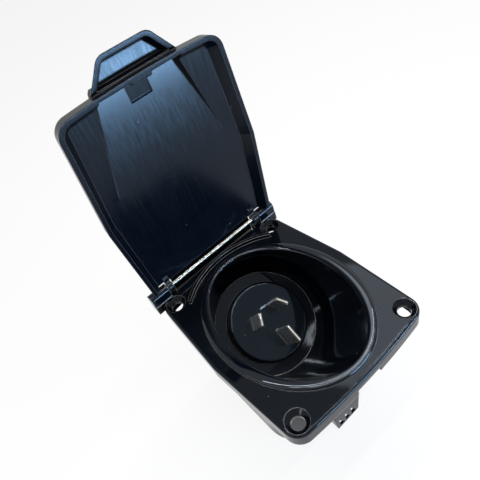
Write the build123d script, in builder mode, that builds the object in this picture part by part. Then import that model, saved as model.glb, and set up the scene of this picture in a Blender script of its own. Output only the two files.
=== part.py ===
"""Flush power inlet: flange and bowl, hinged lid, tilted pin carrier, rear cover and cord clamp.

Millimetres. The origin is the centre of the flange's back plane, +Z points out of the wall and
+Y points to the hinge. The lid is stored open.
"""
import math
import os

from build123d import *

os.makedirs("parts", exist_ok=True)

# Flange plate: sides that peak at mid length, bowed ends, a skirt round the back
FLANGE_MID_W = 78.8
FLANGE_END_W = 73.6
FLANGE_L = 94.2
FLANGE_END_BOW = 1.9
FLANGE_CORNER_R = 7.0
FLANGE_DEPTH = 7.2
FLANGE_SHEET = 3.6
FLANGE_WALL = 2.4
FLANGE_EDGE_R = 1.2
SCREW_SPACING_X = 62.0
SCREW_SPACING_Y = 79.6
SCREW_HOLE_R = 2.8
SCREW_SINK_R = 4.8
SCREW_SINK_ANGLE = 90
CATCH_NOTCH_W = 13.0
CATCH_LIP = 4.2

# Bowl: an oval mouth with a raised lip, drawn down to a round floor that faces the free end
MOUTH_RX = 29.3
MOUTH_RY = 39.3
MOUTH_Y = -1.3
LIP_SIDE_W = 4.6
LIP_END_W = 2.4
LIP_RISE = 0.9
LIP_EDGE_R = 0.7
BOWL_WALL = 1.8
FACE_TILT = 36.0
FACE_Y = 19.4
FACE_Z = -25.8
FACE_R = 26.6
FLOOR_T = 4.2

# Water dam on the hinge side of the mouth
DAM_R = 40.6
DAM_Y = 3.3
DAM_T = 1.5
DAM_RISE = 2.0
DAM_HALF_ANGLE = 39.5

# Hinge
HINGE_INSET = 0.1
HINGE_Z = 11.8
HINGE_PIN_R = 1.05
HINGE_PIN_L = 72.0
HINGE_RUN_CLEAR = 0.05
KNUCKLE_R = 2.75
KNUCKLE_IN = 29.5
KNUCKLE_L = 9.8
KNUCKLE_FOOT = 0.4
KNUCKLE_FOOT_RISE = 1.2
LUG_T = 2.6
LUG_SIDE_GAP = 0.5
LUG_R = 2.8
HEEL_L = 3.3
HEEL_W = 2.4
STOP_GAP = 0.3
OPEN_ANGLE = 90.0

# Lid tray, measured from the hinge axis: v runs to the free end, w out of the lid
LID_SIDE_STEP = 0.3
LID_MID_V = 47.0
LID_HINGE_W = 73.8
LID_FREE_W = 71.0
LID_L = 95.8
LID_END_BOW = 1.6
LID_HINGE_V = 3.55
LID_TONGUE_V = 2.6
CURTAIN_LAP = 2.2
CURTAIN_HALF_W = 25.4
CURTAIN_T = 1.2
LID_CORNER_R = 7.0
LID_TOP_W = 2.8
LID_PANEL_T = 2.0
LID_RIM_GAP = 0.9
LID_WALL = 1.8
LID_DRAFT = 6.0
LID_BEVEL = 33.0
LID_EDGE_R = 1.2

# Hump and finger tab of the lid
HUMP_V = 55.0
HUMP_HALF_W = 27.4
HUMP_END_HALF_W = 17.3
HUMP_RISE = 3.2
HUMP_DRAFT = 28.0
HUMP_WALL = 0.8
TAB_HALF_W = 18.1
TAB_END_HALF_W = 10.4
TAB_REACH = 10.1
TAB_CORNER_R = 5.0
TAB_RIM_W = 0.3
TAB_WALL = 1.9
TAB_FLOOR_T = 1.6
TAB_DRAFT = 25.0
LATCH_W = 8.5
LATCH_T = 1.1
LATCH_H = 1.8
PAD_W = 9.3
PAD_L = 9.4

# Pin carrier: a round block that stands through the floor, with a flange behind it
CARRIER_R = 20.2
CARRIER_RISE = 5.86
CARRIER_EDGE_R = 1.2
CARRIER_CLEAR = 0.4
CARRIER_FLANGE_R = 22.8
CARRIER_FLANGE_T = 3.0
CARRIER_RECESS_CLEAR = 0.5
SEAL_T = 0.8
EAR_X = 24.2
EAR_R = 3.0
CARRIER_SCREW_R = 1.3
CARRIER_SCREW_BITE = 3.2
CARRIER_SCREW_TIP_CLEAR = 0.3
BARRIER_T = 1.6
BARRIER_L = 13.0
BARRIER_H = 12.0

# Flat pins: polar angle and radius on the floor, radial and tangential size, length in front
PIN_T = 1.6
PIN_W = 6.35
EARTH_PIN_W = 9.08
PIN_PITCH_R = 7.92
EARTH_PITCH_R = 10.31
PIN_L = 17.1
EARTH_PIN_L = 19.9
PIN_TIP_CHAMFER = 0.5
PIN_TAIL = 5.0
PIN_FIT = 0.05
ACTIVE_ANGLE = 150.0
NEUTRAL_ANGLE = 30.0
EARTH_ANGLE = -90.0

# Terminal blocks on the pin tails
BLOCK_SIDE = 2.7
BLOCK_END = 1.1
BLOCK_L = 12.0
WIRE_R = 1.9
WIRE_DEPTH = 6.0
TERMINAL_SCREW_R = 1.5
TERMINAL_SCREW_RISE = 3.2
TERMINAL_HEAD_R = 2.6
TERMINAL_HEAD_H = 1.8
TERMINAL_HEAD_GAP = 1.0

# Rear cover: a cup over the terminals, on a collar round the bowl
COVER_W = 63.6
COVER_BOTTOM_Y = -25.5
COVER_TOP_Y = 45.0
COVER_CORNER_R = 18.0
COVER_WALL = 2.0
COVER_RIM_Z = -19.6
COVER_REAR_Z = -64.0
COVER_EDGE_R = 5.0
COVER_FIT = 0.15
COLLAR_T = 3.0
COLLAR_LIP_H = 7.0
COLLAR_LIP_T = 2.5
COVER_SCREW_Z = -23.1
COVER_SCREW_LOW_Y = -4.5
COVER_SCREW_HIGH_Y = 24.2
COVER_SCREW_R = 1.45
COVER_SCREW_L = 5.2
COVER_BOSS_R = 3.0
COVER_BOSS_L = 6.5

# Cord snout: a duct on the cover's lower wall, open to the rear, with three tie windows
SNOUT_FRONT_Z = -50.0
SNOUT_OUT_Y = -30.4
SNOUT_FRONT_HALF_W = 9.2
SNOUT_REAR_HALF_W = 7.4
SNOUT_REAR_GAP = 0.5
SNOUT_WALL = 1.4
SNOUT_DEPTH_IN = 3.0
WINDOW_COUNT = 3
WINDOW_PITCH = 4.2
WINDOW_W = 3.6
WINDOW_H = 7.0
WINDOW_RIM = 1.0

# Cord clamp inside the cover
CLAMP_Y = -12.0
CLAMP_X = 10.5
CLAMP_POST_R = 3.4
CLAMP_POST_H = 12.0
CLAMP_BAR_W = 7.0
CLAMP_BAR_T = 3.6
CLAMP_SADDLE_W = 12.0
CLAMP_SADDLE_H = 3.0
CLAMP_SCREW_R = 1.45
CLAMP_SCREW_BITE = 8.0
CLAMP_SCREW_TIP_CLEAR = 0.5

# Round heads of the carrier, cover and clamp screws
HEAD_R = 2.7
HEAD_H = 1.8
HEAD_EDGE_R = 0.5

# Overshoot of cutting bodies
CUT = 1.0

TILT = math.radians(FACE_TILT)
FACE = Plane(origin=(0, FACE_Y, FACE_Z), x_dir=(1, 0, 0),
             z_dir=(0, -math.sin(TILT), math.cos(TILT)))
HINGE_Y = FLANGE_L / 2 - HINGE_INSET
OPEN = math.radians(OPEN_ANGLE)
LID_OUT = (0, math.sin(OPEN), math.cos(OPEN))
LID_ALONG = (0, -math.cos(OPEN), math.sin(OPEN))
HINGE = (0, HINGE_Y, HINGE_Z)
LID = Plane(origin=HINGE, x_dir=(1, 0, 0), z_dir=LID_OUT)
LID_SIDE = Plane(origin=HINGE, x_dir=LID_ALONG, z_dir=(-1, 0, 0))

LID_MID_W = FLANGE_MID_W - 2 * LID_SIDE_STEP
LID_IN_W = LID_TOP_W - LID_PANEL_T
LID_RIM_W = FLANGE_DEPTH + LID_RIM_GAP - HINGE_Z
CURTAIN_END_V = FLANGE_DEPTH - CURTAIN_LAP - HINGE_Z
LUG_OUT = KNUCKLE_IN - LUG_SIDE_GAP
TAB_V = LID_L + TAB_REACH
TAB_H = LID_TOP_W + HUMP_RISE - TAB_RIM_W
HUMP_STOP_V = LID_L - LID_WALL
TAB_FLOOR_W = TAB_RIM_W + TAB_H - TAB_FLOOR_T
HUMP_SLOPE = HUMP_RISE / (LID_L - HUMP_V)
CARRIER_SEAT_N = -FLOOR_T - SEAL_T
CARRIER_BACK_N = CARRIER_SEAT_N - CARRIER_FLANGE_T
COVER_Y = (COVER_TOP_Y + COVER_BOTTOM_Y) / 2
COVER_L = COVER_TOP_Y - COVER_BOTTOM_Y
COVER_FLOOR_Z = COVER_REAR_Z + COVER_WALL
LIP_TOP_Z = FLANGE_DEPTH + LIP_RISE
CLAMP_SEAT_Z = COVER_FLOOR_Z + CLAMP_POST_H


def flange_face(inset):
    """Outline of the flange, moved in by an inset."""
    end_y = FLANGE_L / 2 - FLANGE_END_BOW - inset
    apex_y = FLANGE_L / 2 - inset
    end_x = FLANGE_END_W / 2 - inset
    mid_x = FLANGE_MID_W / 2 - inset
    with BuildSketch() as face:
        with BuildLine():
            Polyline((-end_x, -end_y), (-mid_x, 0), (-end_x, end_y))
            ThreePointArc((-end_x, end_y), (0, apex_y), (end_x, end_y))
            Polyline((end_x, end_y), (mid_x, 0), (end_x, -end_y))
            ThreePointArc((end_x, -end_y), (0, -apex_y), (-end_x, -end_y))
        make_face()
        fillet([v for v in face.vertices() if abs(v.Y) > end_y / 2], FLANGE_CORNER_R - inset)
    return face.sketch


def lid_face(inset, hinge_v):
    """Outline of the lid in the lid's plane, moved in by an inset and starting at hinge_v."""
    slope = (LID_MID_W - LID_HINGE_W) / 2 / (LID_MID_V - LID_HINGE_V)
    hinge_x = LID_HINGE_W / 2 + slope * (hinge_v - LID_HINGE_V) - inset
    mid_x = LID_MID_W / 2 - inset
    free_x = LID_FREE_W / 2 - inset
    free_v = LID_L - LID_END_BOW - inset
    with BuildSketch() as face:
        with BuildLine():
            Polyline((free_x, -free_v), (mid_x, -LID_MID_V), (hinge_x, -hinge_v),
                     (-hinge_x, -hinge_v), (-mid_x, -LID_MID_V), (-free_x, -free_v))
            ThreePointArc((-free_x, -free_v), (0, inset - LID_L), (free_x, -free_v))
        make_face()
        fillet([v for v in face.vertices() if v.Y < -LID_MID_V - CUT], LID_CORNER_R - inset)
    return face.sketch


def hump_face(outset):
    """Plan of the hump in the lid's plane, run past both its ends, its sides moved out by an outset."""
    slope = (HUMP_HALF_W - HUMP_END_HALF_W) / (LID_L - HUMP_V)
    start = HUMP_HALF_W + slope * TAB_H + outset
    end = HUMP_END_HALF_W - slope * TAB_H + outset
    with BuildSketch() as face:
        with BuildLine():
            Polyline((-start, TAB_H - HUMP_V), (-end, -LID_L - TAB_H), (end, -LID_L - TAB_H),
                     (start, TAB_H - HUMP_V), close=True)
        make_face()
    return face.sketch


def tab_face(inset):
    """Rim of the finger tab in the lid's plane, run back under the lid and moved in by an inset."""
    root = TAB_HALF_W + (TAB_HALF_W - TAB_END_HALF_W) / TAB_REACH * TAB_H
    with BuildSketch() as face:
        with BuildLine():
            Polyline((-root, TAB_H - LID_L), (-TAB_END_HALF_W, -TAB_V),
                     (TAB_END_HALF_W, -TAB_V), (root, TAB_H - LID_L), close=True)
        make_face()
        fillet([v for v in face.vertices() if v.Y < -LID_L - CUT], TAB_CORNER_R)
        if inset:
            offset(amount=-inset, kind=Kind.INTERSECTION)
    return face.sketch


def hump_w(v, base):
    """Height of the sloping hump at v, from a base height."""
    return base + HUMP_SLOPE * (v - HUMP_V)


def carrier_outline(hole_r):
    """Flange of the carrier with its two ears, with a centre hole where hole_r isn't zero."""
    with BuildSketch() as face:
        Circle(CARRIER_FLANGE_R)
        Rectangle(2 * EAR_X, 2 * EAR_R)
        with Locations((-EAR_X, 0), (EAR_X, 0)):
            Circle(EAR_R)
            Circle(CARRIER_SCREW_R, mode=Mode.SUBTRACT)
        if hole_r:
            Circle(hole_r, mode=Mode.SUBTRACT)
    return face.sketch


def cover_face(inset):
    """Outline of the rear cover, moved in by an inset."""
    with BuildSketch() as face:
        with Locations((0, COVER_Y)):
            RectangleRounded(COVER_W - 2 * inset, COVER_L - 2 * inset, COVER_CORNER_R - inset)
    return face.sketch


def pin_plane(polar, radius):
    """Plane on the floor at a pin, with x pointing away from the floor's centre."""
    turn = math.radians(polar)
    spot = (radius * math.cos(turn), radius * math.sin(turn), 0)
    return Plane(FACE.location * Location(spot, (0, 0, polar)))


def screw(seat, shank_r, shank_l, head_r, head_h):
    """Screw on a seat plane: the shank goes in against its normal, the head stands out."""
    with BuildPart(seat) as body:
        Cylinder(shank_r, shank_l, align=(Align.CENTER, Align.CENTER, Align.MAX))
        Cylinder(head_r, head_h, align=(Align.CENTER, Align.CENTER, Align.MIN))
        crown = body.faces().sort_by(Axis(seat.origin, seat.z_dir))[-1]
        fillet(crown.edges(), HEAD_EDGE_R)
    return body.part


def group(parts):
    """One part that holds several separate solids."""
    with BuildPart() as joined:
        for part in parts:
            add(part)
    return joined.part


def save(part, name):
    """Label a part and write its file."""
    part.label = name
    export_step(part, f"parts/{name}.step")


# Planes of the four radial cover screws, looking out of the side walls
COVER_SCREW_SEATS = [
    Plane(origin=(side * COVER_W / 2, y, COVER_SCREW_Z), x_dir=(0, side, 0), z_dir=(side, 0, 0))
    for side in (-1, 1) for y in (COVER_SCREW_LOW_Y, COVER_SCREW_HIGH_Y)]
EAR_SPOTS = [(-EAR_X, 0), (EAR_X, 0)]

# Housing: flange, bowl, lip, dam, knuckles and the collar for the rear cover
with BuildPart() as housing:
    add(extrude(flange_face(0), amount=FLANGE_DEPTH, mode=Mode.PRIVATE))
    fillet(housing.faces().sort_by(Axis.Z)[-1].edges(), FLANGE_EDGE_R)
    add(extrude(flange_face(FLANGE_WALL), amount=FLANGE_DEPTH - FLANGE_SHEET, mode=Mode.PRIVATE),
        mode=Mode.SUBTRACT)
    with BuildSketch(Plane.XY.offset(FLANGE_DEPTH)):
        with Locations((0, MOUTH_Y)):
            Ellipse(MOUTH_RX + LIP_SIDE_W, MOUTH_RY + LIP_END_W)
    extrude(amount=LIP_RISE)
    fillet(housing.faces().sort_by(Axis.Z)[-1].edges(), LIP_EDGE_R)
    with BuildSketch(Plane.XY.offset(FLANGE_DEPTH - FLANGE_SHEET)):
        with Locations((0, MOUTH_Y)):
            Ellipse(MOUTH_RX + BOWL_WALL, MOUTH_RY + BOWL_WALL)
    with BuildSketch(FACE.offset(-FLOOR_T)):
        Circle(FACE_R + BOWL_WALL)
    loft()
    add(extrude(Plane.XY.offset(COVER_RIM_Z) * cover_face(0), amount=COLLAR_T, mode=Mode.PRIVATE))
    lip = Plane.XY.offset(COVER_RIM_Z - COLLAR_LIP_H) * cover_face(COVER_WALL + COVER_FIT)
    lip_hole = Plane.XY.offset(COVER_RIM_Z - COLLAR_LIP_H) * cover_face(
        COVER_WALL + COVER_FIT + COLLAR_LIP_T)
    add(extrude(lip - lip_hole, amount=COLLAR_LIP_H, mode=Mode.PRIVATE))
    for seat in COVER_SCREW_SEATS:
        with Locations(seat.offset(-COVER_WALL - COVER_FIT)):
            Cylinder(COVER_BOSS_R, COVER_BOSS_L, align=(Align.CENTER, Align.CENTER, Align.MAX))
    with BuildSketch(Plane.XY.offset(LIP_TOP_Z)):
        with Locations((0, MOUTH_Y)):
            Ellipse(MOUTH_RX, MOUTH_RY)
    with BuildSketch(FACE):
        Circle(FACE_R)
    loft(mode=Mode.SUBTRACT)
    with BuildSketch(FACE.offset(-FLOOR_T)):
        Circle(CARRIER_R + CARRIER_CLEAR)
    extrude(amount=FLOOR_T + CUT, mode=Mode.SUBTRACT)
    with BuildSketch(FACE.offset(-FLOOR_T)):
        Circle(CARRIER_FLANGE_R + CARRIER_RECESS_CLEAR)
        with Locations(*EAR_SPOTS):
            Circle(EAR_R + CARRIER_RECESS_CLEAR)
    extrude(amount=-(SEAL_T + CARRIER_FLANGE_T + HEAD_H + CUT), mode=Mode.SUBTRACT)
    with BuildSketch(FACE.offset(-FLOOR_T)):
        with Locations(*EAR_SPOTS):
            Circle(CARRIER_SCREW_R)
    extrude(amount=CARRIER_SCREW_BITE, mode=Mode.SUBTRACT)
    for seat in COVER_SCREW_SEATS:
        with Locations(seat):
            Cylinder(COVER_SCREW_R, COVER_SCREW_L, align=(Align.CENTER, Align.CENTER, Align.MAX),
                     mode=Mode.SUBTRACT)
    with Locations(Plane.XY.offset(FLANGE_DEPTH)):
        with GridLocations(SCREW_SPACING_X, SCREW_SPACING_Y, 2, 2):
            CounterSinkHole(SCREW_HOLE_R, SCREW_SINK_R, FLANGE_SHEET + CUT, SCREW_SINK_ANGLE)
    with Locations((0, -FLANGE_L / 2, FLANGE_DEPTH - CATCH_LIP)):
        Box(CATCH_NOTCH_W, 2 * FLANGE_WALL + FLANGE_END_BOW, FLANGE_DEPTH,
            align=(Align.CENTER, Align.CENTER, Align.MAX), mode=Mode.SUBTRACT)
    with BuildSketch(Plane.XY.offset(FLANGE_DEPTH)):
        with BuildLine():
            CenterArc((0, DAM_Y), DAM_R, 90 - DAM_HALF_ANGLE, 2 * DAM_HALF_ANGLE)
            offset(amount=DAM_T / 2)
        make_face()
    extrude(amount=DAM_RISE)
    for side in (-1, 1):
        with BuildSketch(Plane.YZ.offset(side * KNUCKLE_IN)):
            with Locations((HINGE_Y, HINGE_Z)):
                Circle(KNUCKLE_R)
            with Locations((HINGE_Y, FLANGE_DEPTH - FLANGE_SHEET)):
                Rectangle(2 * KNUCKLE_R, HINGE_Z - FLANGE_DEPTH + FLANGE_SHEET,
                          align=(Align.CENTER, Align.MIN))
            with Locations((HINGE_Y - KNUCKLE_R - KNUCKLE_FOOT, FLANGE_DEPTH - FLANGE_SHEET)):
                Rectangle(KNUCKLE_FOOT + KNUCKLE_R, FLANGE_SHEET + KNUCKLE_FOOT_RISE,
                          align=(Align.MIN, Align.MIN))
        extrude(amount=side * KNUCKLE_L)
        with BuildSketch(Plane.YZ.offset(side * KNUCKLE_IN)):
            with Locations((HINGE_Y + LID_TOP_W - HEEL_W - STOP_GAP, FLANGE_DEPTH - FLANGE_SHEET)):
                Rectangle(HEEL_W + 2 * STOP_GAP, HINGE_Z - HEEL_L - STOP_GAP - FLANGE_DEPTH
                          + FLANGE_SHEET, align=(Align.MIN, Align.MIN))
            with Locations((HINGE_Y - KNUCKLE_R, FLANGE_DEPTH - FLANGE_SHEET)):
                Rectangle(2 * KNUCKLE_R, FLANGE_SHEET, align=(Align.MIN, Align.MIN))
        extrude(amount=-side * (LUG_T + 2 * LUG_SIDE_GAP))
    with Locations(Location(HINGE, (0, 90, 0))):
        Cylinder(HINGE_PIN_R, HINGE_PIN_L, mode=Mode.SUBTRACT)
save(housing.part, "housing")

# Hinge pin
with BuildPart() as hinge_pin:
    with Locations(Location(HINGE, (0, 90, 0))):
        Cylinder(HINGE_PIN_R, HINGE_PIN_L)
save(hinge_pin.part, "hinge_pin")

# Lid: a shallow tray with a bevelled inside, a hump and a hollow finger tab
with BuildPart() as lid:
    add(extrude(LID.offset(LID_RIM_W) * lid_face(0, LID_HINGE_V - LID_TOP_W), amount=LID_TOP_W - LID_RIM_W,
                taper=LID_DRAFT, mode=Mode.PRIVATE))
    with BuildSketch(LID.offset(LID_RIM_W)):
        with Locations((0, -LID_HINGE_V)):
            Rectangle(2 * LID_MID_W, LID_L, align=(Align.CENTER, Align.MIN))
    extrude(amount=LID_L, mode=Mode.SUBTRACT)
    outer = lid.faces().sort_by(Axis(HINGE, LID_OUT))[-1]
    hinge_edge = outer.edges().sort_by(Axis(HINGE, LID_ALONG))[0]
    fillet([e for e in outer.edges() if e != hinge_edge], LID_EDGE_R)
    with BuildSketch(LID.offset(TAB_RIM_W)):
        add(tab_face(0))
    extrude(amount=TAB_H, taper=TAB_DRAFT)
    with BuildPart(mode=Mode.PRIVATE) as hump:
        add(extrude(LID.offset(LID_TOP_W) * hump_face(HUMP_WALL), amount=TAB_H, taper=HUMP_DRAFT,
                    mode=Mode.PRIVATE))
        add(extrude(LID.offset(LID_IN_W) * hump_face(HUMP_WALL), amount=LID_PANEL_T, mode=Mode.PRIVATE))
        with BuildSketch(LID_SIDE):
            with BuildLine():
                Polyline((HUMP_V, LID_IN_W), (HUMP_V, LID_TOP_W), (LID_L, hump_w(LID_L, LID_TOP_W)),
                         (LID_L, LID_IN_W), close=True)
            make_face()
        extrude(amount=2 * HUMP_HALF_W, both=True, mode=Mode.INTERSECT)
    add(hump.part)
    add(extrude(LID.offset(LID_RIM_W) * lid_face(LID_WALL, LID_HINGE_V - LID_L / 2),
                amount=LID_IN_W - LID_RIM_W, taper=LID_BEVEL, mode=Mode.PRIVATE), mode=Mode.SUBTRACT)
    with BuildPart(mode=Mode.PRIVATE) as hollow:
        add(extrude(LID.offset(LID_IN_W) * hump_face(0), amount=TAB_H, taper=HUMP_DRAFT,
                    mode=Mode.PRIVATE))
        add(extrude(LID.offset(LID_RIM_W) * hump_face(0), amount=LID_IN_W - LID_RIM_W,
                    mode=Mode.PRIVATE))
        with BuildSketch(LID_SIDE):
            with BuildLine():
                Polyline((HUMP_V, LID_RIM_W), (HUMP_V, LID_IN_W),
                         (HUMP_STOP_V, hump_w(HUMP_STOP_V, LID_IN_W)), (HUMP_STOP_V, LID_RIM_W), close=True)
            make_face()
        extrude(amount=2 * HUMP_HALF_W, both=True, mode=Mode.INTERSECT)
    add(hollow.part, mode=Mode.SUBTRACT)
    with BuildSketch(LID.offset(LID_RIM_W)):
        with Locations((0, LID_WALL - LID_L)):
            Rectangle(PAD_W, PAD_L, align=(Align.CENTER, Align.MIN))
    extrude(amount=hump_w(HUMP_STOP_V, LID_IN_W) - LID_RIM_W, mode=Mode.SUBTRACT)
    with BuildPart(mode=Mode.PRIVATE) as scoop:
        add(extrude(LID.offset(TAB_RIM_W) * tab_face(TAB_WALL), amount=TAB_H - TAB_FLOOR_T,
                    taper=TAB_DRAFT, mode=Mode.PRIVATE))
        with BuildSketch(LID_SIDE):
            with BuildLine():
                Polyline((LID_L, TAB_RIM_W), (LID_L, TAB_FLOOR_W - HUMP_SLOPE * TAB_REACH),
                         (TAB_V, TAB_FLOOR_W), (TAB_V, TAB_RIM_W), close=True)
            make_face()
        extrude(amount=HUMP_HALF_W, both=True, mode=Mode.INTERSECT)
    add(scoop.part, mode=Mode.SUBTRACT)
    with BuildSketch(LID.offset(LID_RIM_W)):
        with Locations((0, LID_WALL + LATCH_T - LID_L)):
            Rectangle(LATCH_W, LATCH_T + LID_WALL / 2, align=(Align.CENTER, Align.MAX))
    extrude(amount=LATCH_H)
    with BuildSketch(LID.offset(LID_IN_W)):
        with Locations((0, -LID_TONGUE_V)):
            Rectangle(2 * LUG_OUT, LID_HINGE_V - LID_TONGUE_V + CUT, align=(Align.CENTER, Align.MAX))
    extrude(amount=LID_PANEL_T)
    with BuildSketch(LID.offset(LID_TOP_W)):
        with Locations((0, -CURTAIN_END_V)):
            Rectangle(2 * CURTAIN_HALF_W, LID_TONGUE_V - CURTAIN_END_V + CUT,
                      align=(Align.CENTER, Align.MAX))
    extrude(amount=-CURTAIN_T)
    for side in (-1, 1):
        with BuildSketch(LID_SIDE.offset(side * LUG_OUT)):
            Circle(LUG_R)
            Rectangle(LID_HINGE_V + LID_PANEL_T, LID_TOP_W, align=(Align.MIN, Align.MIN))
            with Locations((-HEEL_L, LID_TOP_W)):
                Rectangle(HEEL_L, HEEL_W, align=(Align.MIN, Align.MAX))
        extrude(amount=-side * LUG_T)
    with Locations(Location(HINGE, (0, 90, 0))):
        Cylinder(HINGE_PIN_R + HINGE_RUN_CLEAR, 2 * KNUCKLE_IN, mode=Mode.SUBTRACT)
save(lid.part, "lid")

# Flat pins and terminal blocks, each on its own plane on the floor
PIN_ROWS = {
    "active": (ACTIVE_ANGLE, PIN_PITCH_R, PIN_T, PIN_W, PIN_L),
    "neutral": (NEUTRAL_ANGLE, PIN_PITCH_R, PIN_T, PIN_W, PIN_L),
    "earth": (EARTH_ANGLE, EARTH_PITCH_R, EARTH_PIN_W, PIN_T, EARTH_PIN_L),
}
terminal_screws = []
for name, (polar, pitch_r, radial, tangential, length) in PIN_ROWS.items():
    plane = pin_plane(polar, pitch_r)
    with BuildPart() as pin:
        with BuildSketch(plane.offset(CARRIER_BACK_N - PIN_TAIL)):
            Rectangle(radial, tangential)
        extrude(amount=PIN_TAIL - CARRIER_BACK_N + CARRIER_RISE + length)
        tip = pin.faces().sort_by(Axis(plane.origin, plane.z_dir))[-1]
        chamfer(tip.edges(), PIN_TIP_CHAMFER)
    save(pin.part, f"pin_{name}")
    side_radial = BLOCK_SIDE if radial == PIN_T else BLOCK_END
    side_tangential = BLOCK_SIDE if tangential == PIN_T else BLOCK_END
    reach = radial / 2 + side_radial
    screw_n = CARRIER_BACK_N - BLOCK_L + TERMINAL_SCREW_RISE
    seat = Plane(origin=plane.from_local_coords((reach, 0, screw_n)), z_dir=plane.x_dir)
    with BuildPart() as block:
        with BuildSketch(plane.offset(CARRIER_BACK_N)):
            Rectangle(2 * reach, tangential + 2 * side_tangential)
        extrude(amount=-BLOCK_L)
        with BuildSketch(plane.offset(CARRIER_BACK_N)):
            Rectangle(radial + 2 * PIN_FIT, tangential + 2 * PIN_FIT)
        extrude(amount=-PIN_TAIL, mode=Mode.SUBTRACT)
        with BuildSketch(plane.offset(CARRIER_BACK_N - BLOCK_L)):
            Circle(WIRE_R)
        extrude(amount=WIRE_DEPTH, mode=Mode.SUBTRACT)
        with Locations(seat):
            Cylinder(TERMINAL_SCREW_R, reach, align=(Align.CENTER, Align.CENTER, Align.MAX),
                     mode=Mode.SUBTRACT)
    save(block.part, f"terminal_{name}")
    terminal_screws.append(screw(seat.offset(TERMINAL_HEAD_GAP), TERMINAL_SCREW_R,
                                 reach - WIRE_R / 2 + TERMINAL_HEAD_GAP, TERMINAL_HEAD_R,
                                 TERMINAL_HEAD_H))
save(group(terminal_screws), "terminal_screws")

# Pin carrier with slots for the pins and barriers between the terminals
with BuildPart() as pin_carrier:
    add(extrude(FACE.offset(CARRIER_BACK_N) * carrier_outline(0), amount=CARRIER_FLANGE_T,
                mode=Mode.PRIVATE))
    with BuildSketch(FACE.offset(CARRIER_SEAT_N)):
        Circle(CARRIER_R)
    extrude(amount=CARRIER_RISE - CARRIER_SEAT_N)
    front = pin_carrier.faces().sort_by(Axis(FACE.origin, FACE.z_dir))[-1]
    fillet(front.edges(), CARRIER_EDGE_R)
    with BuildSketch(FACE.offset(CARRIER_BACK_N)):
        with PolarLocations(0, 3, start_angle=EARTH_ANGLE + 180):
            Rectangle(BARRIER_L, BARRIER_T, align=(Align.MIN, Align.CENTER))
    extrude(amount=-BARRIER_H)
    for polar, pitch_r, radial, tangential, length in PIN_ROWS.values():
        with BuildSketch(pin_plane(polar, pitch_r).offset(CARRIER_BACK_N - CUT)):
            Rectangle(radial + 2 * PIN_FIT, tangential + 2 * PIN_FIT)
        extrude(amount=CARRIER_RISE - CARRIER_BACK_N + 2 * CUT, mode=Mode.SUBTRACT)
save(pin_carrier.part, "pin_carrier")

# Flat seal between the carrier's flange and the floor
with BuildPart() as carrier_seal:
    add(extrude(FACE.offset(CARRIER_SEAT_N) * carrier_outline(CARRIER_R + CARRIER_CLEAR),
                amount=SEAL_T, mode=Mode.PRIVATE))
save(carrier_seal.part, "carrier_seal")

# Two screws that hold the carrier against the floor
carrier_screws = []
for x, y in EAR_SPOTS:
    seat = Plane(origin=FACE.from_local_coords((x, y, CARRIER_BACK_N)), x_dir=(1, 0, 0),
                 z_dir=-FACE.z_dir)
    bite = CARRIER_FLANGE_T + SEAL_T + CARRIER_SCREW_BITE - CARRIER_SCREW_TIP_CLEAR
    carrier_screws.append(screw(seat, CARRIER_SCREW_R, bite, HEAD_R, HEAD_H))
save(group(carrier_screws), "carrier_screws")

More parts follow.
